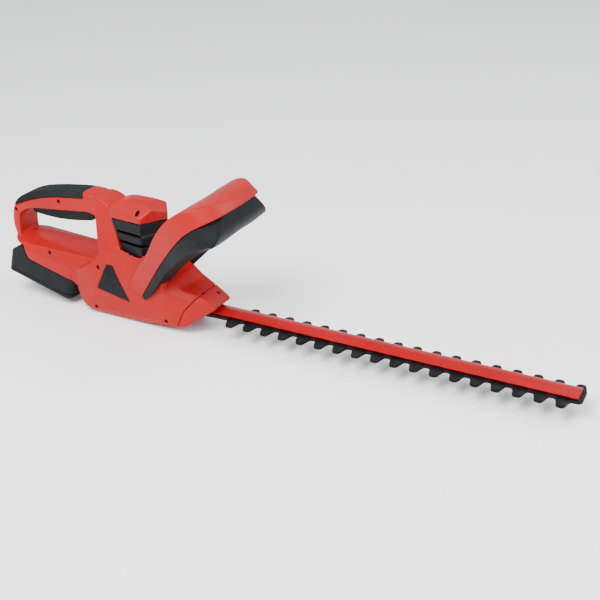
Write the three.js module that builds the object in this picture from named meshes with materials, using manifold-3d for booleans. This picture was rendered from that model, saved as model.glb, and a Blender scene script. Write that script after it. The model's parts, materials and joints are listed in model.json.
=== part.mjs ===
// Cordless hedge trimmer: two clamshell housings round a motor and crank gear, a slide-on battery,
// a rear D handle, a wrap-round front handle and two reciprocating blades under a guard bar.
// Millimetres. The build frame has +X towards the blade tip, +Z up, the first near tooth at X = 0
// and the blades lying at Z = 0. The exported group moves that to the base centre of the whole tool.
import * as THREE from "three";
import { mergeVertices } from "three/addons/utils/BufferGeometryUtils.js";
import Module from "manifold-3d";

const wasm = await Module();
wasm.setup();

// ---- Driving dimensions ----------------------------------------------------------------------
const GAP = 0.3; // clearance between touching pieces
const WALL = 2.6; // shell thickness of the mouldings

const TOOTH_PITCH = 26;
const TEETH_PER_SIDE = 18;
const BLADE_REACH = 29.4; // centre line to tooth tip
const BLADE_ROOT = 12; // centre line to the foot of the teeth
const BLADE_THICK = 2;
const TOOTH_TIP_WIDTH = 11;
const TOOTH_ROOT_WIDTH = 16;
const BLADE_TIP_X = 463;
const FIRST_TOOTH_X = -1;
const STROKE_HALF = 8; // each blade moves this far either side of rest
const LOWER_BLADE_Z = -2.3;
const UPPER_BLADE_Z = 0;

const GUARD_HALF = 14.2;
const GUARD_EDGE_Z = 6.2;
const GUARD_RIDGE_Z = 9.6;
const GUARD_BASE_Z = UPPER_BLADE_Z + BLADE_THICK + GAP;
const GUARD_TIP_X = 458;
const BOLT_XS = [20, 124, 228, 332, 436];

const GEAR_X = -97;
const MODULE = 1;
const GEAR_TEETH = 60;
const PINION_TEETH = 12;
const MOTOR_X = GEAR_X - (MODULE * (GEAR_TEETH + PINION_TEETH)) / 2;
const GEAR_Z = 6;
const GEAR_THICK = 6;
const CRANK_RADIUS = 9;
const YOKE_HALF_LENGTH = STROKE_HALF * 2 + CRANK_RADIUS + 1;
const YOKE_HALF_WIDTH = STROKE_HALF + CRANK_RADIUS + 1;
const GEAR_PIN_RADIUS = 3;

const MOTOR_RADIUS = 18.5;
const MOTOR_Z = 56;
const MOTOR_HEIGHT = 66;

const BODY_HALF = 42;
const GRIP_HALF = 20;
const DOME_TOP = 147;
const BELLY_Z = -25.3;

const BATTERY_TILT = THREE.MathUtils.degToRad(14.5);
const BATTERY_PLACE = new THREE.Vector3(-309.5, 0, -0.5);
const BATTERY_REAR = -55.5;
const BATTERY_FRONT = 56;
const BATTERY_HALF = 36;
const BATTERY_FLOOR = -2.5;
const BATTERY_SPLIT = 5; // height of the seam between tray and lid
const BATTERY_HEIGHT = 30;
const HUMP_HEIGHT = 47;
const RAIL_HALF = 24;

const LOOP_TILT = THREE.MathUtils.degToRad(50);
const LOOP_BASE = new THREE.Vector3(-120, 0, 27);
const LOOP_THICK = 27;
const LOOP_BASE_HALF = 45;
const LOOP_TOP_HALF = 77;
const LOOP_LENGTH = 184;

// The base centre of the finished tool, in the build frame.
const FOOT = new THREE.Vector3(50, 0, BELLY_Z);

// ---- Geometry helpers --------------------------------------------------------------------------
// A closed outline with rounded corners. Each point is [x, y] or [x, y, corner radius].
function outline(points) {
  const shape = new THREE.Shape();
  const corners = points.map((p) => new THREE.Vector2(p[0], p[1]));
  const count = corners.length;
  corners.forEach((corner, i) => {
    const before = corners[(i + count - 1) % count];
    const after = corners[(i + 1) % count];
    const wanted = points[i][2] ?? 0;
    const reach = (other) => Math.min(wanted, corner.distanceTo(other) * 0.48) / corner.distanceTo(other);
    const start = corner.clone().lerp(before, reach(before));
    const end = corner.clone().lerp(after, reach(after));
    if (i === 0) shape.moveTo(start.x, start.y);
    else shape.lineTo(start.x, start.y);
    if (wanted > 0) shape.quadraticCurveTo(corner.x, corner.y, end.x, end.y);
  });
  shape.closePath();
  return shape;
}

function prism(shape, length, round = 0, steps = 3, curve = 3) {
  const geometry = new THREE.ExtrudeGeometry(shape, {
    depth: length - 2 * round,
    curveSegments: curve,
    bevelEnabled: round > 0,
    bevelThickness: round,
    bevelSize: round,
    bevelOffset: -round,
    bevelSegments: steps,
  });
  return geometry.translate(0, 0, round);
}

// A side outline (x, z) made solid across the tool, from -half to +half in Y.
function across(shape, half, round, steps, curve) {
  return toSolid(prism(shape, 2 * half, round, steps, curve).translate(0, 0, -half).rotateX(Math.PI / 2));
}

// A plan outline (x, y) made solid from one height to another.
function upright(shape, low, high, round, steps, curve) {
  return toSolid(prism(shape, high - low, round, steps, curve).translate(0, 0, low));
}

// A front outline (y, z) made solid along X.
function lengthways(shape, from, to, round, steps) {
  const turn = new THREE.Matrix4().makeBasis(
    new THREE.Vector3(0, 1, 0),
    new THREE.Vector3(0, 0, 1),
    new THREE.Vector3(1, 0, 0),
  );
  return toSolid(prism(shape, to - from, round, steps).translate(0, 0, from).applyMatrix4(turn));
}

function block(from, to) {
  const size = to.map((value, i) => value - from[i]);
  const centre = to.map((value, i) => (value + from[i]) / 2);
  return toSolid(new THREE.BoxGeometry(...size).translate(...centre));
}

function rod(radius, low, high, x = 0, y = 0, sides = 24) {
  const geometry = new THREE.CylinderGeometry(radius, radius, high - low, sides);
  return toSolid(geometry.rotateX(Math.PI / 2).translate(x, y, (low + high) / 2));
}

function rodAcross(radius, from, to, x, z, sides = 16) {
  const geometry = new THREE.CylinderGeometry(radius, radius, to - from, sides);
  return toSolid(geometry.translate(x, (from + to) / 2, z));
}

function toSolid(geometry) {
  const bare = geometry.clone();
  bare.deleteAttribute("normal");
  bare.deleteAttribute("uv");
  const merged = mergeVertices(bare);
  const mesh = new wasm.Mesh({
    numProp: 3,
    vertProperties: new Float32Array(merged.attributes.position.array),
    triVerts: new Uint32Array(merged.index.array),
  });
  return new wasm.Manifold(mesh);
}

function toGeometry(solid) {
  const mesh = solid.getMesh();
  const geometry = new THREE.BufferGeometry();
  geometry.setAttribute("position", new THREE.BufferAttribute(new Float32Array(mesh.vertProperties), 3));
  geometry.setIndex(new THREE.BufferAttribute(new Uint32Array(mesh.triVerts), 1));
  return geometry;
}

function join(...solids) {
  return solids.reduce((whole, solid) => whole.add(solid));
}

function cut(solid, ...tools) {
  return tools.reduce((rest, tool) => rest.subtract(tool), solid);
}

// The biggest body of a solid, which drops the crumbs that a cut can leave.
function main(solid) {
  const bodies = solid.decompose();
  return bodies.reduce((best, body) => (body.volume() > best.volume() ? body : best));
}

function moved(solid, matrix) {
  return toSolid(toGeometry(solid).applyMatrix4(matrix));
}

// ---- The assembly ------------------------------------------------------------------------------
const FINISH = {
  red: { color: 0xd9302c, roughness: 0.38, metalness: 0 },
  redGloss: { color: 0xc4161f, roughness: 0.2, metalness: 0.2 },
  charcoal: { color: 0x2c3436, roughness: 0.6, metalness: 0 },
  rubber: { color: 0x22282a, roughness: 0.85, metalness: 0 },
  blade: { color: 0x1c1b1c, roughness: 0.4, metalness: 0.7 },
  steel: { color: 0x9a9a9a, roughness: 0.35, metalness: 0.9 },
  dark: { color: 0x1a1a1a, roughness: 0.5, metalness: 0.3 },
  brass: { color: 0xb08d45, roughness: 0.35, metalness: 0.9 },
};

const tool = new THREE.Group();
const frame = new THREE.Group();
frame.position.copy(FOOT).negate();
tool.add(frame);

function add(name, solid, finish) {
  const mesh = new THREE.Mesh(toGeometry(main(solid)), new THREE.MeshStandardMaterial(FINISH[finish]));
  mesh.name = name;
  frame.add(mesh);
}

// ---- Battery frame -----------------------------------------------------------------------------
// Local x runs along the battery towards the blades, z up out of its floor.
const batteryMatrix = new THREE.Matrix4()
  .makeRotationY(BATTERY_TILT)
  .setPosition(BATTERY_PLACE);

function inBattery(solid) {
  return moved(solid, batteryMatrix);
}

// ---- Outer form of the housings ----------------------------------------------------------------
// grow swells every outline, to cut neighbours back with a gap.
function bodyForm(grow = 0) {
  const side = outline([
    [-247 - grow, 32 + grow, 8],
    [-241 - grow, 2, 10],
    [-230 - grow, -14 - grow, 12],
    [-212, BELLY_Z - grow, 12],
    [-172, BELLY_Z - grow, 6],
    [-64, -13.6 - grow, 3],
    [-58, -9.5 - grow, 2],
    [-25 + grow, 14, 1],
    [-24.5 + grow, 17 + grow, 2],
    [-37.6, 25.5 + grow, 6],
    [-49, 31 + grow, 8],
    [-73, 37.5 + grow, 8],
    [-79, 48 + grow, 6],
    [-104, 66 + grow, 14],
    [-112, 78 + grow, 6],
    [-190, 82 + grow, 6],
    [-200 - grow, 66 + grow, 8],
    [-214, 51 + grow, 10],
  ]);
  const front = outline([
    [-36 - grow, BELLY_Z - grow - 1, 14],
    [36 + grow, BELLY_Z - grow - 1, 14],
    [BODY_HALF + grow, 2, 16],
    [BODY_HALF + grow, 34, 18],
    [34 + grow, 84 + grow, 8],
    [-34 - grow, 84 + grow, 8],
    [-BODY_HALF - grow, 34, 18],
    [-BODY_HALF - grow, 2, 16],
  ]);
  const plan = outline([
    [-250 - grow, -29 - grow, 6],
    [-243, -34.5 - grow, 14],
    [-203, -BODY_HALF - grow - 1, 30],
    [-96, -BODY_HALF - grow - 1, 40],
    [-50 + grow, -34 - grow, 4],
    [-20 + grow, -34 - grow],
    [-20 + grow, 34 + grow],
    [-50 + grow, 34 + grow, 4],
    [-96, BODY_HALF + grow + 1, 40],
    [-203, BODY_HALF + grow + 1, 30],
    [-243, 34.5 + grow, 14],
    [-250 - grow, 29 + grow, 6],
  ]);
  return across(side, 60, 0, 0, 4)
    .intersect(lengthways(front, -260, -20))
    .intersect(upright(plan, -40, 100))
    .intersect(join(block([-260, -60, -40], [HOOD_START, 60, 100]), noseHood(grow)));
}

const HOOD_START = -94; // the wide body ends here
const HOOD_REAR = -104;

// The hood round the nose: cheeks that slope in from a knee to a narrow crest and a narrow tip.
function noseHood(grow) {
  const corners = [
    [HOOD_REAR, 45, -30],
    [HOOD_REAR, 44, 36],
    [HOOD_REAR, 24, 66],
    [-60, 34.5, -20],
    [-59, 34.5, -11],
    [-56, 31, 24],
    [-74, 16, 39],
    [-49, 15, 31.5],
    [-24, 18.5, 18],
    [-24, 19, 13],
    [-30, 20, -20],
  ];
  return wasm.Manifold.hull(corners.flatMap(([x, y, z]) => [[x, y + grow, z], [x, -y - grow, z]]));
}

// The post that rises from the body to the rear handle, narrowing upwards.
function postForm(grow = 0) {
  const side = outline([
    [-214 - grow, 40, 8],
    [-217 - grow, 112, 4],
    [-217 - grow, 140, 6],
    [-205, 144 + grow, 10],
    [-186, 136 + grow, 12],
    [-170 + grow, 120, 10],
    [-160 + grow, 60, 4],
    [-170, 30, 4],
  ]);
  const front = outline([
    [-BODY_HALF - grow, 28, 10],
    [BODY_HALF + grow, 28, 10],
    [BODY_HALF - 1 + grow, 46, 20],
    [25 + grow, 112, 20],
    [GRIP_HALF + grow, 149 + grow, 9],
    [-GRIP_HALF - grow, 149 + grow, 9],
    [-25 - grow, 112, 20],
    [-BODY_HALF + 1 - grow, 46, 20],
  ]);
  const plan = outline([
    [-217 - grow, -10, 6],
    [-211 - grow, -20 - grow, 4],
    [-194 - grow, -40 - grow, 10],
    [-150, -50 - grow, 0],
    [-150, 50 + grow, 0],
    [-194 - grow, 40 + grow, 10],
    [-211 - grow, 20 + grow, 4],
    [-217 - grow, 10, 6],
  ]);
  return across(side, 60, 0, 0, 4)
    .intersect(lengthways(front, -230, -150))
    .intersect(upright(plan, 0, 170, 0, 0, 3));
}

// Plan corners of the dome, from the rear near side round the prow to the rear far side.
function domeCorners(grow) {
  return [
    [-184 - grow, -25 - grow, 4],
    [-129, -32.5 - grow, 2.5],
    [-105.5 + grow, 0, 3],
    [-129, 32.5 + grow, 2.5],
    [-184 - grow, 25 + grow, 4],
  ];
}

// The upright motor housing: five flat sides that come to a prow, under a bevelled crown.
function domeForm(grow = 0) {
  const plan = outline(domeCorners(grow));
  const crown = outline([
    [-190 - grow, 40, 0],
    [-190 - grow, 134, 6],
    [-168, 144 + grow, 16],
    [-146, DOME_TOP + grow, 16],
    [-127, DOME_TOP - 3 + grow, 12],
    [-107 + grow, 133, 6],
    [-104 + grow, 124, 3],
    [-104 + grow, 40, 0],
  ]);
  const roof = outline([
    [-60, 40],
    [60, 40],
    [60, 120],
    [34 + grow, 127.5, 2],
    [8, DOME_TOP + 1 + grow, 12],
    [-8, DOME_TOP + 1 + grow, 12],
    [-34 - grow, 127.5, 2],
    [-60, 120],
  ]);
  return upright(plan, 40, 160, 0, 0, 3)
    .intersect(across(crown, 60, 0, 0, 4))
    .intersect(lengthways(roof, -200, -90));
}

// The D of the rear handle: an outer outline round the finger window.
const HANDLE_TOP = [
  [-358, 104, 14],
  [-349, 118, 16],
  [-322, 132, 30],
  [-283, 139.5, 40],
  [-232, 146, 30],
];
const WINDOW = [
  [-345, 96, 9],
  [-326, 107, 14],
  [-222, 118.5, 7],
  [-209, 114, 6],
  [-211, 47, 8],
  [-316, 55, 20],
  [-346, 58, 10],
];

function handleForm(grow = 0) {
  const ring = outline([
    [-345 - grow, 38 - grow, 12],
    [-356 - grow, 60, 14],
    [-362 - grow, 78, 14],
    ...HANDLE_TOP.map(([x, z, r]) => [x - grow / 2, z + grow, r]),
    [-203, 143.5 + grow, 16],
    [-192, 120],
    [-196, 20],
    [-245, 14 - grow, 14],
  ]);
  return across(ring, GRIP_HALF + grow, 7, 3, 4).subtract(across(outline(WINDOW), 60, 0, 0, 4));
}

// The arm that carries the shoe: broad at the bottom, with a sloping band along each side that
// narrows to the rear, under a crowned top.
const ARM_ENDS = [
  { x: -357, ridge: 59, shoulder: 61, crown: 65 },
  { x: -196, ridge: 31, shoulder: 54, crown: 52 },
];
const ARM_HALF = 35;

function armForm(grow = 0) {
  const corners = ARM_ENDS.flatMap(({ x, ridge, shoulder, crown }) =>
    [-1, 1].flatMap((side) => [
      [x, side * (ARM_HALF + grow), 12],
      [x, side * (ARM_HALF + grow), ridge],
      [x, side * (28 + grow), shoulder + grow],
      [x, side * 10, crown + grow],
    ]),
  );
  const plan = outline([
    [-356 - grow, -12, 6],
    [-353 - grow, -24 - grow, 8],
    [-338, -36 - grow, 10],
    [-196, -36 - grow],
    [-196, 36 + grow],
    [-338, 36 + grow, 10],
    [-353 - grow, 24 + grow, 8],
    [-356 - grow, 12, 6],
  ]);
  return wasm.Manifold.hull(corners).intersect(upright(plan, 0, 80, 0, 0, 4)).intersect(
    across(
      outline([
        [-400, 44],
        [-330, 44 - grow],
        [-300, 26 - grow],
        [-252, 12 - grow],
        [-190, 10 - grow],
        [-190, 90],
        [-400, 90],
      ]),
      60,
    ),
  );
}

// The shoe's raised side panels, which the battery slides in between.
function shoeForm(grow = 0) {
  const panel = outline([
    [-23.5 - grow, 31 - grow, 4],
    [51.5 + grow, 31 - grow, 6],
    [51.5 + grow, 52 + grow, 7],
    [-34 - grow, 46.5 + grow, 4],
  ]);
  return inBattery(across(panel, BATTERY_HALF + 0.5 + grow, 1, 2, 4));
}

const trimmerForm = join(bodyForm(), postForm(), domeForm(), handleForm(), armForm(), shoeForm());
const grownForm = join(bodyForm(GAP), postForm(GAP), domeForm(GAP));

// ---- Hollows -----------------------------------------------------------------------------------
function bodyHollow() {
  const side = outline([
    [-236, 24, 4],
    [-236, 2, 8],
    [-228, -11, 8],
    [-210, BELLY_Z + WALL, 8],
    [-170, BELLY_Z + WALL, 12],
    [-67, -10.5, 2],
    [-50, 1, 2],
    [-56, 23, 8],
    [-79, 32, 4],
    [-84, 45, 4],
    [-107, 62, 10],
    [-115, 74, 4],
    [-187, 74, 4],
    [-194, 64, 6],
    [-212, 44, 6],
  ]);
  const front = outline([
    [-33, BELLY_Z + WALL - 1, 12],
    [33, BELLY_Z + WALL - 1, 12],
    [BODY_HALF - WALL, 3, 12],
    [BODY_HALF - WALL, 34, 16],
    [31, 80, 6],
    [-31, 80, 6],
    [-BODY_HALF + WALL, 34, 16],
    [-BODY_HALF + WALL, 3, 12],
  ]);
  const plan = outline([
    [-240, -30, 8],
    [-203, -BODY_HALF + WALL, 24],
    [-104, -BODY_HALF + WALL, 10],
    [-88, -33.5, 8],
    [-64, -27, 4],
    [-38, -25],
    [-38, 25],
    [-64, 27, 4],
    [-88, 33.5, 8],
    [-104, BODY_HALF - WALL, 10],
    [-203, BODY_HALF - WALL, 24],
    [-240, 30, 8],
  ]);
  return across(side, 60, 0, 0, 3)
    .intersect(lengthways(front, -255, -25))
    .intersect(upright(plan, -40, 100))
    .intersect(join(block([-260, -60, -40], [HOOD_START - WALL, 60, 100]), noseHood(-WALL)));
}

const domeHollow = domeForm(-WALL).intersect(block([-182, -60, 60], [-90, 60, 160]));

const gripHollow = across(
  outline([
    [-352, 105],
    [-322, 124, 20],
    [-283, 130, 20],
    [-232, 135, 10],
    [-196, 134, 8],
    [-186, 110, 4],
    [-200, 76],
    [-210, 84],
    [-213, 118, 4],
    [-222, 125, 6],
    [-326, 112, 10],
    [-345, 102],
  ]),
  GRIP_HALF - 5,
);

// ---- Rear handle pieces ------------------------------------------------------------------------
function padForm(grow = 0) {
  const band = outline([
    [-352 - grow, 107 - grow, 1],
    [-322, 121 - grow, 30],
    [-283, 131.5 - grow, 60],
    [-229 + grow, 137.5 - grow, 1],
    [-243 + grow, 160, 1],
    [-370, 160, 1],
    [-370, 104 - grow, 1],
  ]);
  return across(band, GRIP_HALF + 10);
}

function triggerForm(grow = 0) {
  const side = outline([
    [-330 - grow, 97 - grow, 5],
    [-300, 94 - grow, 20],
    [-264, 95 - grow, 20],
    [-222 + grow, 102 - grow, 6],
    [-222 + grow, 116 + grow, 5],
    [-290, 110 + grow, 20],
    [-328 - grow, 107 + grow, 5],
  ]);
  return across(side, 8.5 + grow, 1.5, 2);
}

// The room that the trigger swings up into.
const triggerRoom = across(
  outline([
    [-332, 94],
    [-221, 94],
    [-221, 118],
    [-290, 119],
    [-332, 117],
  ]),
  9.2,
);

// ---- Grilles -----------------------------------------------------------------------------------
const GRILLE_DEEP = 3;

function grilleRegion(side, grow = 0) {
  const face = outline([
    [-180 - grow, 119.5 + grow, 2],
    [-129, 121 + grow, 0],
    [-100, 122 + grow, 0],
    [-100, 112, 0],
    [-118 + grow, 84, 4],
    [-129, 75 - grow, 2],
    [-161 - grow, 72.5 - grow, 4],
  ]);
  return side < 0
    ? across(face, 60).intersect(block([-190, -60, 60], [-90, -1, 140]))
    : across(face, 60).intersect(block([-190, 1, 60], [-90, 60, 140]));
}

function domeSkin(outer, inner) {
  return upright(outline(domeCorners(outer)), 60, 140).subtract(upright(outline(domeCorners(inner)), 50, 150));
}

function louvres(side) {
  const slots = [104, 90].map((z) =>
    block([z - 275, side < 0 ? -60 : 13, z - 2], [-116, side < 0 ? -13 : 60, z + 2]),
  );
  return join(...slots);
}

// ---- Front handle ------------------------------------------------------------------------------
const loopAxis = new THREE.Vector3(Math.cos(LOOP_TILT), 0, Math.sin(LOOP_TILT));
const loopMatrix = new THREE.Matrix4()
  .makeBasis(
    new THREE.Vector3(0, 1, 0),
    loopAxis,
    new THREE.Vector3(0, 1, 0).cross(loopAxis),
  )
  .setPosition(LOOP_BASE);

// lip lengthens the outer edge of the cross piece.
function loopHoop(lip = 0) {
  const foot = -20;
  const inner = 24; // width of a leg
  const half = [
    [LOOP_BASE_HALF - 1, foot],
    [LOOP_BASE_HALF, 0, 10],
    [LOOP_TOP_HALF - 1, LOOP_LENGTH - 50, 34],
    [LOOP_TOP_HALF - 7, LOOP_LENGTH - 22 + lip, 16],
    [LOOP_TOP_HALF - 29, LOOP_LENGTH - 4 + lip, 20],
    [0, LOOP_LENGTH + lip, 60],
  ];
  const innerHalf = [
    [LOOP_BASE_HALF - inner - 3, foot],
    [LOOP_BASE_HALF - inner, 10, 20],
    [LOOP_TOP_HALF - inner - 4, LOOP_LENGTH - LOOP_THICK - 46, 30],
    [LOOP_TOP_HALF - inner - 17, LOOP_LENGTH - LOOP_THICK - 8, 20],
    [0, LOOP_LENGTH - LOOP_THICK, 40],
  ];
  const mirror = (points) => points.map(([x, y, r]) => [-x, y, r]);
  const hoop = outline([
    ...half,
    ...mirror(half.slice(0, -1)).reverse(),
    ...mirror(innerHalf.slice(0, -1)),
    innerHalf.at(-1),
    ...innerHalf.slice(0, -1).reverse(),
  ]);
  return moved(toSolid(prism(hoop, 200, 0, 0, 5).translate(0, 0, -100)), loopMatrix);
}

// Side view of the front handle: the cover's, then the shell's above it.
const LOOP_SIDE = [
  [-146, 34, 2],
  [-134, 58, 20],
  [-105, 92, 20],
  [-82, 131, 30],
  [-54, 162, 20],
  [-29, 175, 12],
  [-12, 174, 8],
  [1, 162, 3],
  [10, 138, 7],
  [3, 125, 8],
  [-22, 109, 30],
  [-50, 84, 30],
  [-99, 34, 20],
  [-121, 18, 2],
];
// The shell reaches past the cover below it, as a lip along the front of the cross piece.
const LOOP_LIP = 8;
const SHELL_SIDE = [
  [-146, 34, 2],
  [-134, 58, 20],
  [-105, 92, 20],
  [-82, 131, 30],
  [-54, 162, 20],
  [-24, 175.5, 14],
  [3, 175.5, 8],
  [18, 163, 1],
  [-50, 84, 1],
  [-99, 34, 20],
  [-121, 18, 2],
];
const LOOP_SPLIT = [
  [-124, 25, 0],
  [-89, 75, 20],
  [-52, 121, 20],
  [-28, 146, 20],
  [14, 167, 0],
];

function loopDarkRegion(grow = 0) {
  const region = outline([
    ...LOOP_SPLIT.map(([x, z, r]) => [x - grow, z + grow, r]),
    [14, 178, 0],
    [60, 120, 0],
    [-60, 20, 0],
    [-122 - grow, 10, 0],
  ]);
  return across(region, 100);
}

// The bar under the cross piece, squeezed up into it by the fingers.
const SWITCH_AT = LOOP_LENGTH - 38;
const SWITCH_DEEP = 2;

function switchBarForm(grow = 0) {
  const face = outline([
    [-40 - grow, SWITCH_AT - grow, 6],
    [40 + grow, SWITCH_AT - grow, 6],
    [44 + grow, SWITCH_AT + 15 + grow, 6],
    [-44 - grow, SWITCH_AT + 15 + grow, 6],
  ]);
  const plate = toSolid(prism(face, 20 + 2 * grow, 2, 2, 3).translate(0, 0, SWITCH_DEEP - grow));
  return moved(plate, loopMatrix);
}

const switchBarRoom = moved(
  toSolid(new THREE.BoxGeometry(90.5, 23, 21.2).translate(0, SWITCH_AT + 8, SWITCH_DEEP + 10)),
  loopMatrix,
);

// Each leg's underside slopes up from its inner edge to its outer edge.
const LEG_STATIONS = [
  { x: -112, z: 22, inner: 20, outer: 52, rise: 2 },
  { x: -60, z: 74, inner: 32, outer: 66, rise: 12 },
  { x: -22, z: 109, inner: 42, outer: 82, rise: 14 },
  { x: 4, z: 126, inner: 52, outer: 84, rise: 7 },
];

function legSlope(side, from, to) {
  const corners = [from, to].flatMap(({ x, z, inner, outer, rise }) => [
    [x, side * inner, z],
    [x + 6, side * inner, z - 6],
    [x + 6, side * outer, z - 6],
    [x - rise * 0.7, side * outer, z + rise * 0.7],
  ]);
  return wasm.Manifold.hull(corners);
}

const legSlopes = [-1, 1].flatMap((side) =>
  [0, 1, 2].map((i) => legSlope(side, LEG_STATIONS[i], LEG_STATIONS[i + 1])),
);

function loopForm(side, lip) {
  return cut(across(outline(side), 100, 0, 0, 4).intersect(loopHoop(lip)), grownForm, ...legSlopes);
}

const loopRed = main(loopForm(SHELL_SIDE, LOOP_LIP).subtract(loopDarkRegion()));
const loopDark = main(loopForm(LOOP_SIDE, 0).intersect(loopDarkRegion(-GAP)));

add("front_handle_shell", loopRed, "red");
function frontSwitchBox(grow = 0) {
  const box = new THREE.BoxGeometry(18 + 2 * grow, 4.2 + 2 * grow, 11 + 2 * grow);
  return moved(toSolid(box.translate(0, SWITCH_AT + 21.9, SWITCH_DEEP + 9.5)), loopMatrix);
}
const neckBox = new THREE.BoxGeometry(18.8, 4, 11.8).translate(0, SWITCH_AT + 19.5, SWITCH_DEEP + 9.5);
const switchNeck = moved(toSolid(neckBox), loopMatrix);

add("front_handle_cover", cut(loopDark, switchBarRoom, switchNeck, frontSwitchBox(0.4)), "charcoal");
add("front_switch", frontSwitchBox(), "dark");
add("front_switch_bar", switchBarForm(), "rubber");

// ---- Housings ----------------------------------------------------------------------------------
const SEAM = [
  [-84, -40],
  [-66, 9],
  [-45, 34],
  [-20, 60],
  [0, 60],
  [0, -40],
];

function noseRegion(grow = 0) {
  return across(outline(SEAM.map(([x, z]) => [x - grow, z])), 60);
}

const BLADE_SLOT = join(
  block([-60, -25, LOWER_BLADE_Z - 3.5], [-50, 25, GUARD_RIDGE_Z + 0.6]),
  block([-51, -16.5, LOWER_BLADE_Z - 3.5], [-10, 16.5, GUARD_RIDGE_Z + 0.6]),
);

const SIDE_SCREWS = [
  { x: -350, z: 101, half: 12 },
  { x: -272, z: 126, half: 16 },
  { x: -286, z: 51.5, half: 31 },
  { x: -199, z: 49, half: 36 },
  { x: -208, z: -13, half: 33 },
  { x: -92, z: -9, half: 35 },
  { x: -137, z: 134, half: 20 },
];
const SCREW_RADIUS = 2.6;

function screwBoss({ x, z }, half) {
  return rodAcross(SCREW_RADIUS + 2, -half, half, x, z, 12);
}

function screwHole({ x, z, half }) {
  return join(
    rodAcross(SCREW_RADIUS + GAP, -60, -half + 2, x, z, 12),
    rodAcross(1.5 + GAP, -half, half - 8, x, z, 10),
  );
}

const BADGE = [
  [-185, 56, 1],
  [-175, 56, 1],
  [-147, 8, 1],
  [-201, 19, 1],
];

// A thin inlay in the side wall, and with grow the pocket that it sits in.
function badgeForm(side, grow = 0) {
  const face = outline(BADGE.map(([x, z, r]) => [x + Math.sign(x + 176) * grow, z + Math.sign(z - 30) * grow, r]));
  const half = side < 0 ? block([-210, -60, 0], [-140, -20, 60]) : block([-210, 20, 0], [-140, 60, 60]);
  const inset = -1.2 - grow;
  const pocket = cut(across(face, 60).intersect(half), bodyForm(inset), postForm(inset));
  return grow > 0 ? pocket : pocket.intersect(join(bodyForm(), postForm()));
}

const NOSE_SCREWS = [
  { x: -49.5, y: -10, head: 30 },
  { x: -37.6, y: 10, head: 24.6 },
];
const NOSE_SCREW_FOOT = 14;

function noseScrew({ x, y, head }, grow = 0) {
  return join(
    rod(2.4 + grow, head - 2.2 - grow, head + grow * 40, x, y, 12),
    rod(1.4 + grow, NOSE_SCREW_FOOT - grow, head - 1, x, y, 10),
  );
}

const HUMP_NOSE = [
  [-23.5, 29],
  [-36, HUMP_HEIGHT],
];
const batteryBay = inBattery(
  join(
    across(outline([[-80, -10], [58, -10], [58, 30.6], [-80, 30.6]]), BATTERY_HALF + 1),
    across(outline([[-80, 29], [50, 29], [50, 39.5], [-80, 39.5]]), RAIL_HALF + 1),
    across(
      outline([[-80, 29], ...HUMP_NOSE.map(([x, z]) => [x + 0.6, z + 0.6]), [-80, HUMP_HEIGHT + 0.6]]),
      BATTERY_HALF + 1,
    ),
  ),
);

const hollow = join(bodyHollow(), domeHollow, gripHollow);
const driveRoom = block([-140, -29, LOWER_BLADE_Z - 3.4], [-45, 29, 16]);
const bosses = join(...SIDE_SCREWS.map((screw) => screwBoss(screw, screw.half + 1))).subtract(driveRoom);
const shell = cut(
  trimmerForm.subtract(hollow.subtract(bosses)),
  batteryBay,
  padForm(GAP),
  triggerRoom,
  noseRegion(GAP),
  BLADE_SLOT,
  grilleRegion(-1, GAP).intersect(domeSkin(4, -GRILLE_DEEP - GAP)),
  grilleRegion(1, GAP).intersect(domeSkin(4, -GRILLE_DEEP - GAP)),
  badgeForm(-1, GAP),
  badgeForm(1, GAP),
  ...SIDE_SCREWS.map(screwHole),
  ...NOSE_SCREWS.map((screw) => noseScrew(screw, GAP)),
);
const SPLIT = GAP / 2;
const nearHalf = block([-400, -80, -60], [40, -SPLIT, 200]);
const farHalf = block([-400, SPLIT, -60], [40, 80, 200]);

const noseHollow = join(bodyHollow().intersect(block([-100, -60, -40], [-58, 60, 60])), BLADE_SLOT);

add("housing_near", shell.intersect(nearHalf), "red");
add("housing_far", shell.intersect(farHalf), "red");
add(
  "nose_cover",
  cut(bodyForm().intersect(noseRegion()), noseHollow, ...NOSE_SCREWS.map((screw) => noseScrew(screw, GAP))),
  "red",
);
add("badge_near", badgeForm(-1), "charcoal");
add("badge_far", badgeForm(1), "charcoal");
add("grip_pad", handleForm().intersect(padForm()).subtract(gripHollow), "rubber");
add("trigger", triggerForm(), "charcoal");
add("trigger_switch", block([-310, -6, 119.6], [-284, 6, 124.8]), "dark");
add("grille_near", cut(domeSkin(0, -GRILLE_DEEP).intersect(grilleRegion(-1)), louvres(-1)), "charcoal");
add("grille_far", cut(domeSkin(0, -GRILLE_DEEP).intersect(grilleRegion(1)), louvres(1)), "charcoal");

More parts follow.
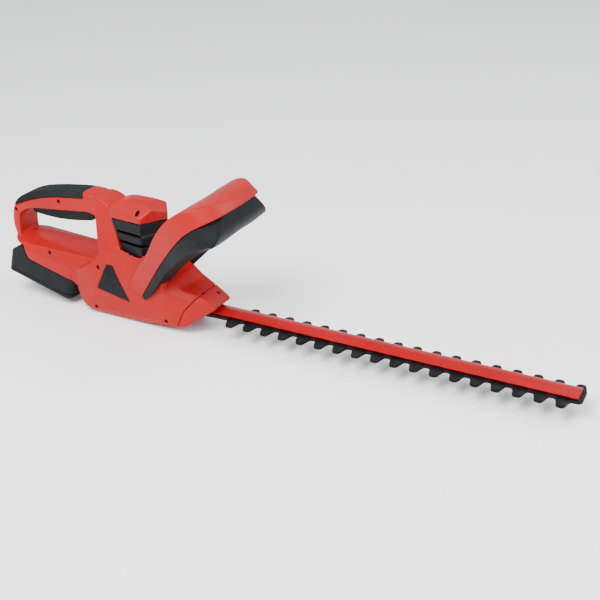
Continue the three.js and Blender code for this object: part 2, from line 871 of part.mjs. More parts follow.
// ---- Battery -----------------------------------------------------------------------------------
const batteryFloor = outline([
  [BATTERY_REAR, BATTERY_FLOOR, 6],
  [BATTERY_FRONT, BATTERY_FLOOR, 8],
  [BATTERY_FRONT, BATTERY_SPLIT],
  [BATTERY_REAR, BATTERY_SPLIT],
]);
const batteryRoof = outline([
  [BATTERY_REAR, BATTERY_SPLIT + GAP],
  [BATTERY_FRONT, BATTERY_SPLIT + GAP],
  [BATTERY_FRONT, BATTERY_HEIGHT, 4],
  [HUMP_NOSE[0][0], BATTERY_HEIGHT, 1],
  [HUMP_NOSE[1][0], HUMP_NOSE[1][1], 1],
  [-40, HUMP_HEIGHT, 2],
  [BATTERY_REAR, 31, 4],
]);
const cellRoom = across(outline([[-49, 3], [50, 3], [50, 27], [-49, 27]]), BATTERY_HALF - 3);
const batteryPlan = upright(
  outline([
    [BATTERY_REAR, -BATTERY_HALF, 8],
    [BATTERY_FRONT, -BATTERY_HALF, 14],
    [BATTERY_FRONT, BATTERY_HALF, 14],
    [BATTERY_REAR, BATTERY_HALF, 8],
  ]),
  -5,
  60,
);
const latchRoom = block([-50.4, -15, 30], [-40.6, 15, 60]);
const rails = across(outline([[-26, 28], [42, 28], [42, 38.5], [-26, 38.5]]), RAIL_HALF);
const CONTACT_YS = [-12, 0, 12];
const contactSlots = CONTACT_YS.map((y) => block([34.5, y - 0.9, 32], [44, y + 0.9, 39]));
const contactBlades = CONTACT_YS.map((y) => block([36, y - 0.5, 33], [44, y + 0.5, 38]));

function batteryCells() {
  const radius = 9;
  const rods = [0, 1, 2, 3, 4].map((i) => {
    const cell = new THREE.CylinderGeometry(radius, radius, 62, 16);
    return toSolid(cell.translate(-37 + i * 18.4, 0, 14.5));
  });
  const straps = block([-40, -30, 13], [40, 30, 16]);
  return join(...rods, straps);
}

add(
  "battery_tray",
  inBattery(across(batteryFloor, BATTERY_HALF, 3, 2).intersect(batteryPlan).subtract(cellRoom)),
  "charcoal",
);
add(
  "battery_lid",
  inBattery(
    cut(
      join(across(batteryRoof, BATTERY_HALF).intersect(batteryPlan), rails),
      cellRoom,
      latchRoom,
      ...contactSlots,
    ),
  ),
  "charcoal",
);
add("battery_cells", inBattery(batteryCells()), "steel");
add(
  "battery_latch",
  inBattery(across(outline([[-50, 32.5], [-41, 32.5], [-41, 46.4], [-50, 37.8]]), 14.5)),
  "rubber",
);

add("terminal_block", inBattery(join(block([43, -20, 31], [49.6, 20, 39]), ...contactBlades)), "brass");

// ---- Drive -------------------------------------------------------------------------------------
function gearOutline(teeth, hole) {
  const pitch = (MODULE * teeth) / 2;
  const points = [];
  const step = (2 * Math.PI) / teeth;
  for (let i = 0; i < teeth; i++) {
    for (const [share, radius] of [
      [-0.3, pitch - 1.15 * MODULE],
      [-0.13, pitch + 0.8 * MODULE],
      [0.13, pitch + 0.8 * MODULE],
      [0.3, pitch - 1.15 * MODULE],
    ]) {
      const angle = (i + share) * step;
      points.push([radius * Math.cos(angle), radius * Math.sin(angle)]);
    }
  }
  const shape = outline(points);
  if (hole) shape.holes.push(new THREE.Path().absarc(0, 0, hole, 0, 2 * Math.PI, true));
  return shape;
}

const gearBore = rod(GEAR_PIN_RADIUS + 0.05, -20, 40, 0, 0, 24);
const gearTurn = Math.PI / GEAR_TEETH;
const gearDisc = toSolid(
  prism(gearOutline(GEAR_TEETH, 0), GEAR_THICK).rotateZ(gearTurn).translate(0, 0, GEAR_Z),
);
const lowerCrank = rod(CRANK_RADIUS, LOWER_BLADE_Z - 0.2, UPPER_BLADE_Z - 0.2, 0, -STROKE_HALF);
const upperCrank = rod(CRANK_RADIUS, UPPER_BLADE_Z - 0.25, GEAR_Z + 0.5, 0, STROKE_HALF);
const crankHub = rod(GEAR_PIN_RADIUS + 4, LOWER_BLADE_Z - 0.2, GEAR_Z + GEAR_THICK + 2, 0, 0);
const placeGear = new THREE.Matrix4().makeTranslation(GEAR_X, 0, 0);
const gearSolid = moved(cut(join(gearDisc, lowerCrank, upperCrank, crankHub), gearBore), placeGear);

add("drive_gear", gearSolid, "steel");
add("gear_pin", rod(GEAR_PIN_RADIUS, LOWER_BLADE_Z - 3, 22, GEAR_X, 0, 24), "steel");

const PINION_HEIGHT = 10;
const pinion = join(
  toSolid(prism(gearOutline(PINION_TEETH, 0), PINION_HEIGHT).translate(0, 0, GEAR_Z - 1)),
  rod(2.5, GEAR_Z - 2, MOTOR_Z + 4),
);
add("motor_pinion", moved(pinion, new THREE.Matrix4().makeTranslation(MOTOR_X, 0, 0)), "brass");

const FAN_Z = 30;
const FAN_HEIGHT = 9;
const FAN_BLADES = 8;
function fanForm() {
  const vanes = [];
  for (let i = 0; i < FAN_BLADES; i++) {
    const vane = new THREE.BoxGeometry(11, 1.2, FAN_HEIGHT).translate(10, 0, FAN_Z + FAN_HEIGHT / 2);
    vanes.push(toSolid(vane.rotateZ((i * 2 * Math.PI) / FAN_BLADES)));
  }
  const disc = rod(16, FAN_Z, FAN_Z + 1.6);
  const hub = rod(5, FAN_Z, FAN_Z + FAN_HEIGHT);
  return join(disc, hub, ...vanes).subtract(rod(2.6, 0, 90));
}
add("motor_fan", moved(fanForm(), new THREE.Matrix4().makeTranslation(MOTOR_X, 0, 0)), "dark");

const motorCan = cut(
  join(
    rod(MOTOR_RADIUS, MOTOR_Z, MOTOR_Z + MOTOR_HEIGHT, MOTOR_X, 0, 28),
    rod(8, MOTOR_Z - 3, MOTOR_Z + MOTOR_HEIGHT + 4, MOTOR_X, 0, 20),
  ),
  rod(2.5 + GAP, MOTOR_Z - 10, MOTOR_Z + 8, MOTOR_X, 0, 16),
);
add("motor", motorCan, "steel");

// Gearbox: a plate above the gear that the motor stands on, and a base plate under the blades.
const gearPlate = cut(
  upright(
    outline([
      [MOTOR_X - 24, -26, 8],
      [GEAR_X + 20, -33, 14],
      [GEAR_X + 34, -20, 10],
      [GEAR_X + 34, 20, 10],
      [GEAR_X + 20, 33, 14],
      [MOTOR_X - 24, 26, 8],
    ]),
    17.5,
    21.5,
  ),
  rod(GEAR_PIN_RADIUS + 4.2, 0, 40, GEAR_X),
  rod(8, 0, 40, MOTOR_X),
);
const basePlate = cut(
  upright(
    outline([
      [GEAR_X - 38, -26, 8],
      [GEAR_X + 30, -28, 8],
      [-58, -22, 4],
      [-58, 22, 4],
      [GEAR_X + 30, 28, 8],
      [GEAR_X - 38, 26, 8],
    ]),
    LOWER_BLADE_Z - 3,
    LOWER_BLADE_Z - 0.5,
  ),
  rod(GEAR_PIN_RADIUS + GAP, -20, 40, GEAR_X),
);
function bearingRing(low, high) {
  const bore = rod(GEAR_PIN_RADIUS + 0.1, low - 1, high + 1, GEAR_X);
  return rod(GEAR_PIN_RADIUS + 3.9, low, high, GEAR_X).subtract(bore);
}

add("gear_plate", gearPlate, "steel");
add("blade_base_plate", basePlate, "steel");
add("gear_bearing", bearingRing(17.5, 21.5), "brass");

const motorMount = cut(
  upright(
    outline([
      [MOTOR_X - 21, -20, 6],
      [MOTOR_X + 17, -20, 6],
      [MOTOR_X + 17, 20, 6],
      [MOTOR_X - 21, 20, 6],
    ]),
    MOTOR_Z - 4.3 - 4,
    MOTOR_Z - GAP - 3,
  ),
  rod(4, 0, 90, MOTOR_X),
);
add("motor_mount", motorMount, "steel");

// ---- Blades ------------------------------------------------------------------------------------
// One side of a blade's edge, tooth by tooth: round-tipped teeth with round-bottomed gaps between.
function toothEdge(side, firstX, reach) {
  const tooth = [
    [-TOOTH_PITCH / 2, BLADE_ROOT],
    [-TOOTH_ROOT_WIDTH / 2 - 1.5, BLADE_ROOT + 0.8],
    [-TOOTH_ROOT_WIDTH / 2, BLADE_ROOT + 4],
    [-TOOTH_TIP_WIDTH / 2, reach - 3],
    [-TOOTH_TIP_WIDTH / 2 + 2.5, reach],
    [TOOTH_TIP_WIDTH / 2 - 2.5, reach],
    [TOOTH_TIP_WIDTH / 2, reach - 3],
    [TOOTH_ROOT_WIDTH / 2, BLADE_ROOT + 4],
    [TOOTH_ROOT_WIDTH / 2 + 1.5, BLADE_ROOT + 0.8],
  ];
  const points = [];
  for (let i = 0; i < TEETH_PER_SIDE; i++) {
    const x = firstX + i * TOOTH_PITCH;
    tooth.forEach(([offset, y]) => points.push([Math.min(x + offset, BLADE_TIP_X), side * y]));
  }
  return points;
}

function blade(z, shorter) {
  const reach = BLADE_REACH - shorter;
  const yokeEnd = GEAR_X + YOKE_HALF_LENGTH + 4;
  const tail = GEAR_X - YOKE_HALF_LENGTH - 6;
  const shape = outline([
    [tail, -YOKE_HALF_WIDTH - 6],
    [yokeEnd, -YOKE_HALF_WIDTH - 6],
    [yokeEnd + 8, -BLADE_ROOT - 2],
    ...toothEdge(-1, FIRST_TOOTH_X, reach),
    [BLADE_TIP_X - 3, -BLADE_ROOT],
    [BLADE_TIP_X, -BLADE_ROOT + 4],
    ...toothEdge(1, FIRST_TOOTH_X + TOOTH_PITCH / 2, reach).reverse(),
    [yokeEnd + 8, BLADE_ROOT + 2],
    [yokeEnd, YOKE_HALF_WIDTH + 6],
    [tail, YOKE_HALF_WIDTH + 6],
  ]);
  const yoke = block(
    [GEAR_X - YOKE_HALF_LENGTH, -YOKE_HALF_WIDTH, -20],
    [GEAR_X + YOKE_HALF_LENGTH, YOKE_HALF_WIDTH, 20],
  );
  const slots = BOLT_XS.map((x) =>
    upright(
      outline([
        [x - STROKE_HALF - 4, -3.6, 3.4],
        [x + STROKE_HALF + 4, -3.6, 3.4],
        [x + STROKE_HALF + 4, 3.6, 3.4],
        [x - STROKE_HALF - 4, 3.6, 3.4],
      ]),
      -20,
      20,
    ),
  );
  return cut(upright(shape, z, z + BLADE_THICK), yoke, ...slots);
}

add("upper_blade", blade(UPPER_BLADE_Z, 0.8), "blade");
add("lower_blade", blade(LOWER_BLADE_Z, 0), "blade");

const guard = lengthways(
  outline([
    [-GUARD_HALF, GUARD_BASE_Z],
    [GUARD_HALF, GUARD_BASE_Z],
    [GUARD_HALF, GUARD_EDGE_Z],
    [1.5, GUARD_RIDGE_Z],
    [-1.5, GUARD_RIDGE_Z],
    [-GUARD_HALF, GUARD_EDGE_Z],
  ]),
  -58,
  GUARD_TIP_X,
);
const boltBores = BOLT_XS.map((x) => rod(2.5 + GAP, -20, GUARD_EDGE_Z, x, 0, 16));
add("guard_bar", cut(guard, ...boltBores), "redGloss");
BOLT_XS.forEach((x, i) => {
  const bolt = join(
    rod(2.5, LOWER_BLADE_Z - 2, GUARD_EDGE_Z - GAP, x, 0, 16),
    rod(6, LOWER_BLADE_Z - 4.5, LOWER_BLADE_Z - 0.5, x, 0, 6),
  );
  add(`blade_bolt_${i + 1}`, bolt, "dark");
});

// ---- Fasteners ---------------------------------------------------------------------------------
SIDE_SCREWS.forEach(({ x, z, half }, i) => {
  const screw = join(
    rodAcross(SCREW_RADIUS, -half - 1, -half + 1.5, x, z, 12),
    rodAcross(1.5, -half, half - 9, x, z, 10),
  );
  add(`housing_screw_${i + 1}`, screw, "dark");
});
NOSE_SCREWS.forEach((screw, i) => add(`nose_screw_${i + 1}`, noseScrew(screw), "dark"));

export default tool;
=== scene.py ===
"""Cordless hedge trimmer: detailed mouldings, blades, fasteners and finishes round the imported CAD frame.

Metres throughout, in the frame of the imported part: +X to the blade tip, +Z up, floor at z = 0.
"""

import json
import math

import bmesh
import bpy
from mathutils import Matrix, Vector


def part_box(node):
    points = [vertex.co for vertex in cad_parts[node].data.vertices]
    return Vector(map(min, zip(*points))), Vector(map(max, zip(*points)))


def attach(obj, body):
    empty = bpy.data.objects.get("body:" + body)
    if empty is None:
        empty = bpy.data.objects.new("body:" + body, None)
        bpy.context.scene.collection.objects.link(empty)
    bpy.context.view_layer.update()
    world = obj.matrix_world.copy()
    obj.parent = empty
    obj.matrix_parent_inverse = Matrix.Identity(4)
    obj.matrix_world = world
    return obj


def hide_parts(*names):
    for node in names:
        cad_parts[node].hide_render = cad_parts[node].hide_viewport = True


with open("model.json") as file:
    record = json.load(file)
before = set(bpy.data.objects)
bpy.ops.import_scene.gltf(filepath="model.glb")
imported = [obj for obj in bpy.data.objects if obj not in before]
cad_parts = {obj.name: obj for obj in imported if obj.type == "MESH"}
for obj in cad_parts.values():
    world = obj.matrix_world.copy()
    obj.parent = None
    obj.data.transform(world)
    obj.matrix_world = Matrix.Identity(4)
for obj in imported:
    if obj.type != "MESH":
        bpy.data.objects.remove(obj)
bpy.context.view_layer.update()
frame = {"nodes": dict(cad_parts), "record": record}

MM = 0.001
NODES = frame["nodes"]
BODIES = frame["record"]["behaviour"]["bodies"]
BODY_OF = {node: body for body, members in BODIES.items() for node in members}
SLOT_OF = {part["node"]: part["material_slot"] for part in frame["record"]["subparts"]}

# Camera, in the three-quarter view from the tool's right and front.
CAMERA_AZIMUTH = math.radians(26.69)
CAMERA_ELEVATION = math.radians(26.32)
CAMERA_PLACE = Vector((0.5936, -1.0992, 0.6803))
CAMERA_LENS = 63.87  # mm, on the sensor below
CAMERA_SENSOR = 36

# Meshes of the softened mouldings.
VOXEL = 1.0 * MM
MEDIUM_VOXEL = 0.8 * MM
FINE_VOXEL = 0.6 * MM
SEAM_REACH = 3 * MM  # how far a seam's faces are pushed out while their edges are rounded
SEAM_TOLERANCE = 0.12 * MM  # how near its plane a vertex counts as on a seam
LEAST_SMOOTHING = 0.06  # share of the smoothing that reaches a kept place

# Edges of the machined pieces.
WELD = 1e-6  # corners of neighbouring triangles nearer than this are one
FLAT_ANGLE = math.radians(1)  # faces that meet within it are one flat
BEVEL_ANGLE = math.radians(25)  # edges sharper than it are broken
SHARP_ANGLE = math.radians(38)  # edges sharper than it stay sharp in the shading
FOOT_HEIGHT = 0.1 * MM  # corners no higher than this over a piece's underside are its foot
SIDE_SHARE = 0.9  # and those further out than this share of the half width are its sides

# Noise stays mostly within these values, so ramps and ranges start and end there.
NOISE_LOW = 0.3
NOISE_HIGH = 0.7


# ---- Materials -----------------------------------------------------------------------------------
class Finish:
    """A material under construction, with short ways to add and join its nodes."""

    def __init__(self, name, color, roughness, metallic=0.0, **sockets):
        self.material = bpy.data.materials.new(name)
        self.material.use_nodes = True
        self.tree = self.material.node_tree
        self.shader = self.tree.nodes["Principled BSDF"]
        self.shader.inputs["Base Color"].default_value = (*color, 1)
        self.shader.inputs["Roughness"].default_value = roughness
        self.shader.inputs["Metallic"].default_value = metallic
        for key, value in sockets.items():
            self.shader.inputs[key.replace("_", " ")].default_value = value
        self.where = self.node("ShaderNodeTexCoord").outputs["Object"]
        self.normal = None

    def node(self, kind, **inputs):
        made = self.tree.nodes.new(kind)
        for key, value in inputs.items():
            made.inputs[key.replace("_", " ")].default_value = value
        return made

    def link(self, output, socket):
        self.tree.links.new(output, socket)

    def stretched(self, scale):
        mapping = self.node("ShaderNodeMapping", Scale=scale)
        self.link(self.where, mapping.inputs["Vector"])
        return mapping.outputs["Vector"]

    def noise(self, scale, detail, stretch=None):
        made = self.node("ShaderNodeTexNoise", Scale=scale, Detail=detail)
        self.link(self.stretched(stretch) if stretch else self.where, made.inputs["Vector"])
        return made.outputs["Fac"]

    def spread(self, value, low, high):
        made = self.node("ShaderNodeMapRange", To_Min=low, To_Max=high)
        made.inputs["From Min"].default_value = NOISE_LOW
        made.inputs["From Max"].default_value = NOISE_HIGH
        self.link(value, made.inputs["Value"])
        return made.outputs["Result"]

    def vary_color(self, value, dark, light):
        ramp = self.node("ShaderNodeValToRGB")
        stops = ((NOISE_LOW, dark), (NOISE_HIGH, light))
        for stop, (position, color) in zip(ramp.color_ramp.elements, stops):
            stop.position = position
            stop.color = (*color, 1)
        self.link(value, ramp.inputs["Fac"])
        self.link(ramp.outputs["Color"], self.shader.inputs["Base Color"])

    def vary_roughness(self, value, low, high):
        self.link(self.spread(value, low, high), self.shader.inputs["Roughness"])

    def bump(self, value, depth, strength):
        made = self.node("ShaderNodeBump", Strength=strength, Distance=depth)
        self.link(value, made.inputs["Height"])
        if self.normal:
            self.link(self.normal, made.inputs["Normal"])
        self.normal = made.outputs["Normal"]
        self.link(self.normal, self.shader.inputs["Normal"])


def red_moulding():
    """Spark-eroded red nylon: a fine grain, a slightly uneven sheen and faint flow marks."""
    finish = Finish("red_moulding", (0.30, 0.0012, 0.0015), 0.45, Specular_IOR_Level=0.2)
    finish.vary_color(finish.noise(14, 3), (0.28, 0.0010, 0.0013), (0.32, 0.0014, 0.0018))
    finish.vary_roughness(finish.noise(60, 5), 0.40, 0.50)
    finish.bump(finish.noise(900, 2), 0.00006, 0.5)
    finish.bump(finish.noise(3200, 2), 0.00004, 0.4)
    return finish.material


def charcoal_moulding():
    """Blue-grey charcoal nylon with a deeper grain than the red."""
    finish = Finish("charcoal_moulding", (0.0045, 0.0065, 0.0072), 0.52, Specular_IOR_Level=0.12)
    finish.vary_color(finish.noise(18, 3), (0.0035, 0.0052, 0.006), (0.006, 0.008, 0.0088))
    finish.vary_roughness(finish.noise(80, 5), 0.44, 0.56)
    finish.bump(finish.noise(1100, 3), 0.00009, 0.6)
    return finish.material


def soft_grip():
    """Matt overmoulded rubber with a fine raised grain and a little dust on it."""
    finish = Finish("soft_grip", (0.0045, 0.0065, 0.007), 0.75, Specular_IOR_Level=0.12)
    cells = finish.node("ShaderNodeTexVoronoi", Scale=230)
    finish.link(finish.stretched((0.5, 1, 1)), cells.inputs["Vector"])
    finish.vary_color(finish.noise(26, 4), (0.0045, 0.0065, 0.007), (0.009, 0.0115, 0.012))
    finish.vary_roughness(finish.noise(120, 4), 0.68, 0.82)
    finish.bump(cells.outputs["Distance"], 0.0005, 0.8)
    finish.bump(finish.noise(2600, 2), 0.00005, 0.4)
    return finish.material


def gloss_black():
    """Semi-gloss black plastic of the switches and the fan, with a slightly cloudy sheen."""
    finish = Finish("gloss_black", (0.005, 0.005, 0.0055), 0.28, Specular_IOR_Level=0.4)
    finish.vary_color(finish.noise(40, 3), (0.004, 0.004, 0.0045), (0.007, 0.007, 0.0075))
    finish.vary_roughness(finish.noise(160, 4), 0.22, 0.34)
    return finish.material


def guard_coat():
    """Satin red powder coat over an extruded strip: orange peel, and drawing lines along it."""
    finish = Finish("guard_coat", (0.27, 0.0012, 0.004), 0.45, Specular_IOR_Level=0.12)
    clouds = finish.noise(30, 3, stretch=(0.3, 1, 1))
    finish.vary_color(clouds, (0.24, 0.0010, 0.0035), (0.30, 0.0015, 0.005))
    finish.vary_roughness(finish.noise(70, 4, stretch=(0.2, 1, 1)), 0.34, 0.46)
    finish.bump(finish.noise(420, 2), 0.00008, 0.5)
    finish.bump(finish.noise(900, 2, stretch=(0.02, 1, 1)), 0.00004, 0.5)
    return finish.material


def blackened_steel():
    """Oil-blackened tool steel, mottled, with grinding lines across the blade."""
    finish = Finish("blackened_steel", (0.006, 0.0055, 0.006), 0.5, 0.2, Specular_IOR_Level=0.12)
    finish.vary_color(finish.noise(90, 5), (0.004, 0.0036, 0.004), (0.012, 0.0105, 0.0112))
    finish.vary_roughness(finish.noise(140, 5), 0.42, 0.62)
    finish.bump(finish.noise(1500, 3, stretch=(1, 0.06, 1)), 0.00008, 0.6)
    return finish.material


def machined_steel():
    """Bare machined steel, its fine cutter marks running up and down."""
    finish = Finish("machined_steel", (0.46, 0.46, 0.47), 0.35, 1.0)
    finish.vary_color(finish.noise(50, 4), (0.38, 0.38, 0.39), (0.52, 0.52, 0.53))
    finish.vary_roughness(finish.noise(220, 4), 0.28, 0.44)
    finish.bump(finish.noise(1600, 2, stretch=(1, 1, 0.1)), 0.00004, 0.5)
    return finish.material


def plated_metal_painted_shade():
    """Dull, slightly patchy plate of the motor can and the battery's cells, its colour darkened as painted
    shade, so that the can seen through the grille looks as dark as the shaded inside of the housing.
    """
    # base colour and its range kept dark: painted shade for the can seen through the grille slots
    finish = Finish("plated_metal_painted_shade", (0.2, 0.2, 0.2), 0.45, 1.0)
    finish.vary_color(finish.noise(25, 3), (0.16, 0.165, 0.175), (0.24, 0.24, 0.24))
    finish.vary_roughness(finish.noise(140, 4), 0.38, 0.52)
    return finish.material


def brass():
    """Brass of the contacts, pinion and bearing, a little unevenly tarnished."""
    finish = Finish("brass", (0.62, 0.42, 0.16), 0.3, 1.0)
    finish.vary_color(finish.noise(60, 4), (0.52, 0.34, 0.12), (0.68, 0.48, 0.20))
    finish.vary_roughness(finish.noise(200, 4), 0.24, 0.40)
    return finish.material


def screw_steel():
    """Black-oxide screws and bolts, worn brighter in patches."""
    finish = Finish("screw_steel", (0.02, 0.018, 0.018), 0.4, 0.85)
    finish.vary_color(finish.noise(700, 4), (0.010, 0.009, 0.009), (0.05, 0.046, 0.044))
    finish.vary_roughness(finish.noise(500, 3), 0.30, 0.52)
    return finish.material


MATERIALS = {
    "red_plastic": red_moulding(),
    "charcoal_plastic": charcoal_moulding(),
    "soft_grip": soft_grip(),
    "switch_plastic": gloss_black(),
    "guard_coat": guard_coat(),
    "blade_steel": blackened_steel(),
    "steel": machined_steel(),
    "motor_metal": plated_metal_painted_shade(),
    "brass": brass(),
    "screw_steel": screw_steel(),
}


# ---- Mesh tools ----------------------------------------------------------------------------------
def new_object(name, data):
    made = bpy.data.objects.new(name, data)
    bpy.context.scene.collection.objects.link(made)
    return made


def apply_modifiers(piece):
    graph = bpy.context.evaluated_depsgraph_get()
    mesh = bpy.data.meshes.new_from_object(piece.evaluated_get(graph), depsgraph=graph)
    piece.modifiers.clear()
    old = piece.data
    piece.data = mesh
    bpy.data.meshes.remove(old)


def add_modifier(piece, kind, **settings):
    made = piece.modifiers.new(kind.lower(), kind)
    for key, value in settings.items():
        setattr(made, key, value)
    return made


def stand_for(piece, node):
    """The piece takes the node's place, body, slot and finish."""
    slot = SLOT_OF[node]
    piece.data.materials.clear()
    piece.data.materials.append(MATERIALS[slot])
    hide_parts(node)
    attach(piece, BODY_OF[node])


def copy_of(node, name):
    return new_object(name, NODES[node].data.copy())


def push_seams(piece, seams):
    """Moves the faces that lie on a seam outwards, so that rounding doesn't eat the seam's edge."""
    for point, normal in seams:
        for vertex in piece.data.vertices:
            if abs((vertex.co - point).dot(normal)) < SEAM_TOLERANCE:
                vertex.co += normal * SEAM_REACH


def trim_seams(piece, seams):
    """Cuts the piece back to its seams and closes the cuts."""
    if not seams:
        return
    bm = bmesh.new()
    bm.from_mesh(piece.data)
    for point, normal in seams:
        geometry = bm.verts[:] + bm.edges[:] + bm.faces[:]
        bmesh.ops.bisect_plane(bm, geom=geometry, plane_co=point, plane_no=normal, clear_outer=True)
        rim = [edge for edge in bm.edges if edge.is_boundary]
        bmesh.ops.triangle_fill(bm, edges=rim, use_beauty=True)
    bmesh.ops.recalc_face_normals(bm, faces=bm.faces[:])
    bm.to_mesh(piece.data)
    bm.free()


def smooth_weights(piece, keep_sharp):
    """A vertex group of 1, falling to LEAST_SMOOTHING in the places of keep_sharp.

    A place is (centre, axis, radius), and the fall starts at twice its radius.
    """
    group = piece.vertex_groups.new(name="rounded")
    for vertex in piece.data.vertices:
        weight = 1.0
        for centre, axis, radius in keep_sharp:
            offset = vertex.co - centre
            away = (offset - axis * offset.dot(axis)).length
            weight = min(weight, max(LEAST_SMOOTHING, (away - radius) / radius))
        group.add([vertex.index], weight, "REPLACE")


def soften(node, name, rounds, voxel=VOXEL, seams=(), keep_sharp=(), thin=1.0, ease=0.0):
    """A moulding with its CAD node's shape and soft, blended edges.

    thin is the share of the faces that is kept, and ease draws the whole surface inwards.
    """
    piece = copy_of(node, name)
    push_seams(piece, seams)
    add_modifier(piece, "REMESH", mode="VOXEL", voxel_size=voxel)
    apply_modifiers(piece)
    smoothing = add_modifier(piece, "SMOOTH", factor=0.5, iterations=rounds)
    if keep_sharp:
        smooth_weights(piece, keep_sharp)
        smoothing.vertex_group = "rounded"
    if ease:
        add_modifier(piece, "DISPLACE", strength=-ease, mid_level=0)
    if thin < 1:
        add_modifier(piece, "DECIMATE", ratio=thin)
    apply_modifiers(piece)
    piece.vertex_groups.clear()
    trim_seams(piece, seams)
    piece.data.shade_smooth()
    stand_for(piece, node)


def machine(node, name, width, segments, undercut=0.0):
    """A machined piece with its CAD node's shape, its flats merged and its edges broken.

    undercut draws in the foot of its long sides, so that they lean inwards below their upper edge.
    """
    piece = copy_of(node, name)
    bm = bmesh.new()
    bm.from_mesh(piece.data)
    bmesh.ops.remove_doubles(bm, verts=bm.verts[:], dist=WELD)
    bmesh.ops.dissolve_limit(bm, angle_limit=FLAT_ANGLE, verts=bm.verts[:], edges=bm.edges[:])
    if undercut:
        low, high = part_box(node)
        foot = low.z + FOOT_HEIGHT
        side = high.y * SIDE_SHARE
        for vertex in bm.verts:
            if vertex.co.z < foot and abs(vertex.co.y) > side:
                vertex.co.y -= math.copysign(undercut, vertex.co.y)
    bm.to_mesh(piece.data)
    bm.free()
    add_modifier(
        piece,
        "BEVEL",
        width=width,
        segments=segments,
        limit_method="ANGLE",
        angle_limit=BEVEL_ANGLE,
    )
    apply_modifiers(piece)
    piece.data.shade_smooth()
    piece.data.set_sharp_from_angle(angle=SHARP_ANGLE)
    stand_for(piece, node)


def middle(node):
    low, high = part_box(node)
    return (low + high) / 2


# ---- Housings ------------------------------------------------------------------------------------
ACROSS = Vector((0, 1, 0))
UP = Vector((0, 0, 1))

# The two halves' parting faces: (point, normal out of the half).
HALF_GAP = 0.15 * MM
SPLIT_NEAR = (-HALF_GAP * ACROSS, ACROSS)
SPLIT_FAR = (HALF_GAP * ACROSS, -ACROSS)

SIDE_SCREWS = [f"housing_screw_{i}" for i in range(1, 8)]
NOSE_SCREWS = [f"nose_screw_{i}" for i in (1, 2)]

SIDE_HOLE_RADIUS = 3.4 * MM
NOSE_HOLE_RADIUS = 3.2 * MM
LATCH_POCKET_RADIUS = 17 * MM

# Places that keep their edges: (centre, axis, radius).
side_holes = [(middle(screw), ACROSS, SIDE_HOLE_RADIUS) for screw in SIDE_SCREWS]
nose_holes = [(middle(screw), UP, NOSE_HOLE_RADIUS) for screw in NOSE_SCREWS]
latch_pocket = [(middle("battery_latch"), UP, LATCH_POCKET_RADIUS)]

soften("housing_near", "near_shell", 18, seams=[SPLIT_NEAR], keep_sharp=side_holes, thin=0.5)
soften("housing_far", "far_shell", 18, seams=[SPLIT_FAR], thin=0.5)
soften("nose_cover", "nose_shell", 8, voxel=MEDIUM_VOXEL, keep_sharp=nose_holes)
soften("front_handle_shell", "handle_shell", 16)
soften("front_handle_cover", "handle_cover", 12)
soften("front_switch_bar", "handle_switch_bar", 6, voxel=MEDIUM_VOXEL)
soften("grip_pad", "rear_grip_pad", 10, voxel=MEDIUM_VOXEL)
soften("trigger", "trigger_blade", 8, voxel=FINE_VOXEL)
for side in ("near", "far"):
    soften(f"grille_{side}", f"grille_{side}_moulding", 3, voxel=FINE_VOXEL)
    soften(f"badge_{side}", f"badge_{side}_plate", 2, voxel=0.4 * MM)
soften("battery_lid", "battery_top", 10, voxel=MEDIUM_VOXEL, keep_sharp=latch_pocket, thin=0.6)
soften("battery_tray", "battery_base", 10, voxel=0.9 * MM)
soften("battery_latch", "battery_button", 4, voxel=0.5 * MM, ease=0.3 * MM)

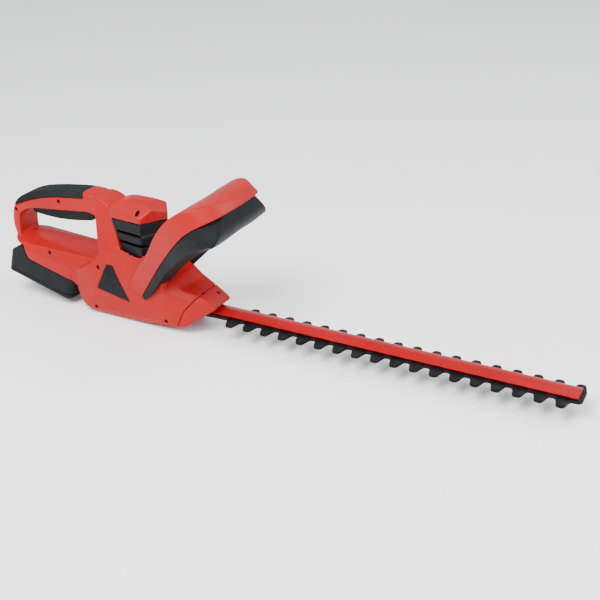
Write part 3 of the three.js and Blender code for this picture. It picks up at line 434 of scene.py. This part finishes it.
# ---- Metalwork -----------------------------------------------------------------------------------
machine("guard_bar", "guard_strip", 0.9 * MM, 4, undercut=4 * MM)
machine("upper_blade", "upper_toothed_blade", 0.35 * MM, 2)
machine("lower_blade", "lower_toothed_blade", 0.35 * MM, 2)
GEAR_TRAIN = (
    "drive_gear",
    "gear_pin",
    "motor_pinion",
    "gear_plate",
    "blade_base_plate",
    "gear_bearing",
)
for node in GEAR_TRAIN:
    machine(node, node + "_turned", 0.15 * MM, 2)
for node in ("motor", "motor_mount", "motor_fan", "battery_cells", "terminal_block"):
    machine(node, node + "_made", 0.3 * MM, 2)
for node in ("trigger_switch", "front_switch"):
    machine(node, node + "_case", 0.5 * MM, 3)
for i in range(1, 6):
    machine(f"blade_bolt_{i}", f"blade_bolt_{i}_hex", 0.3 * MM, 2)
for screw in SIDE_SCREWS + NOSE_SCREWS:
    machine(screw, screw + "_head", 0.2 * MM, 2)


# ---- Studio --------------------------------------------------------------------------------------
FLOOR_REACH = 6
SUBJECT = Vector((0, 0, 0.08))  # what the lights are aimed at

# name: (place, side of the square, power in watts)
LIGHTS = {
    "key": (Vector((-0.3, -1.3, 1.9)), 1.4, 105),
    "fill": (Vector((1.6, -0.5, 1.1)), 1.2, 20),
    "back": (Vector((1.0, 1.3, 2.1)), 1.2, 34),
}
SKY_COLOR = (0.95, 0.97, 1.0, 1)
SKY_STRENGTH = 1.0


def floor():
    mesh = bpy.data.meshes.new("floor")
    signs = ((-1, -1), (1, -1), (1, 1), (-1, 1))
    corners = [(x * FLOOR_REACH, y * FLOOR_REACH, 0) for x, y in signs]
    mesh.from_pydata(corners, [], [(0, 1, 2, 3)])
    piece = new_object("floor", mesh)
    finish = Finish("floor", (0.96, 0.96, 0.96), 0.9)
    finish.vary_color(finish.noise(3, 2), (0.95, 0.95, 0.95), (0.97, 0.97, 0.97))
    mesh.materials.append(finish.material)


def area_light(name, place, size, power):
    data = bpy.data.lights.new(name, "AREA")
    data.shape = "SQUARE"
    data.size = size
    data.energy = power
    light = new_object(name, data)
    light.location = place
    light.rotation_euler = (SUBJECT - place).to_track_quat("-Z", "Y").to_euler()


def studio():
    floor()
    for name, (place, size, power) in LIGHTS.items():
        area_light(name, place, size, power)
    world = bpy.data.worlds.new("studio")
    world.use_nodes = True
    sky = world.node_tree.nodes["Background"]
    sky.inputs["Color"].default_value = SKY_COLOR
    sky.inputs["Strength"].default_value = SKY_STRENGTH
    bpy.context.scene.world = world


def camera():
    data = bpy.data.cameras.new("camera")
    data.sensor_width = CAMERA_SENSOR
    data.lens = CAMERA_LENS
    made = new_object("camera", data)
    made.location = CAMERA_PLACE
    made.rotation_euler = (math.pi / 2 - CAMERA_ELEVATION, 0, CAMERA_AZIMUTH)
    bpy.context.scene.camera = made


studio()
camera()
